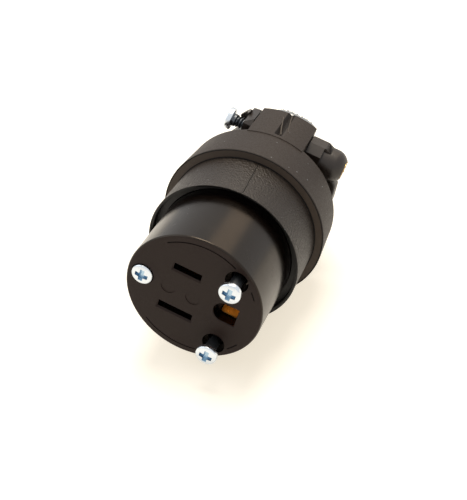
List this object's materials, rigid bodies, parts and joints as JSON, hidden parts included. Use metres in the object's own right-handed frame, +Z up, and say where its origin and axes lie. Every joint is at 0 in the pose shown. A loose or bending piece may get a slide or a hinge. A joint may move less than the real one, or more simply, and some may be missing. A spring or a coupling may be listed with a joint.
{
  "type": "straight blade connector",
  "caption": "Round cord-end connector with two blade slots and a ground hole, a rubber sleeve over the body and a two-part screwed cord clamp between rubber tongues.",
  "frame": {"origin": "bottom centre of the bounding box, on the floor that the connector lies on", "axes": "+Z up; the face looks along -Y and the cord would leave along +Y; +X and up are the ground hole's and the hot slot's sides, rolled 16.6 degrees"},
  "size_m": [0.044, 0.0718, 0.0435],
  "materials": {
    "hard_black": "satin",
    "clamp_black": "matte",
    "black_rubber": "matte",
    "brass": "satin",
    "copper": "satin",
    "zinc_steel": "satin"
  },
  "bodies": {
    "root": {"front_body": "hard_black", "contact_block": "hard_black", "rear_body": "hard_black", "rubber_sleeve": "black_rubber", "clamp_half_right": "clamp_black", "clamp_half_left": "clamp_black", "line_contact": "brass", "neutral_contact": "brass", "ground_contact": "copper", "clamp_nut_upper": "brass", "clamp_nut_lower": "brass", "face_screw_left": "zinc_steel", "threaded_insert_left": "brass", "face_screw_upper": "zinc_steel", "threaded_insert_upper": "brass", "face_screw_lower": "zinc_steel", "threaded_insert_lower": "brass", "clamp_screw_upper": "zinc_steel", "clamp_screw_lower": "zinc_steel", "line_pressure_plate": "zinc_steel", "line_terminal_screw": "zinc_steel", "neutral_pressure_plate": "zinc_steel", "neutral_terminal_screw": "zinc_steel", "ground_pressure_plate": "zinc_steel", "ground_terminal_screw": "zinc_steel"}
  },
  "joints": []
}
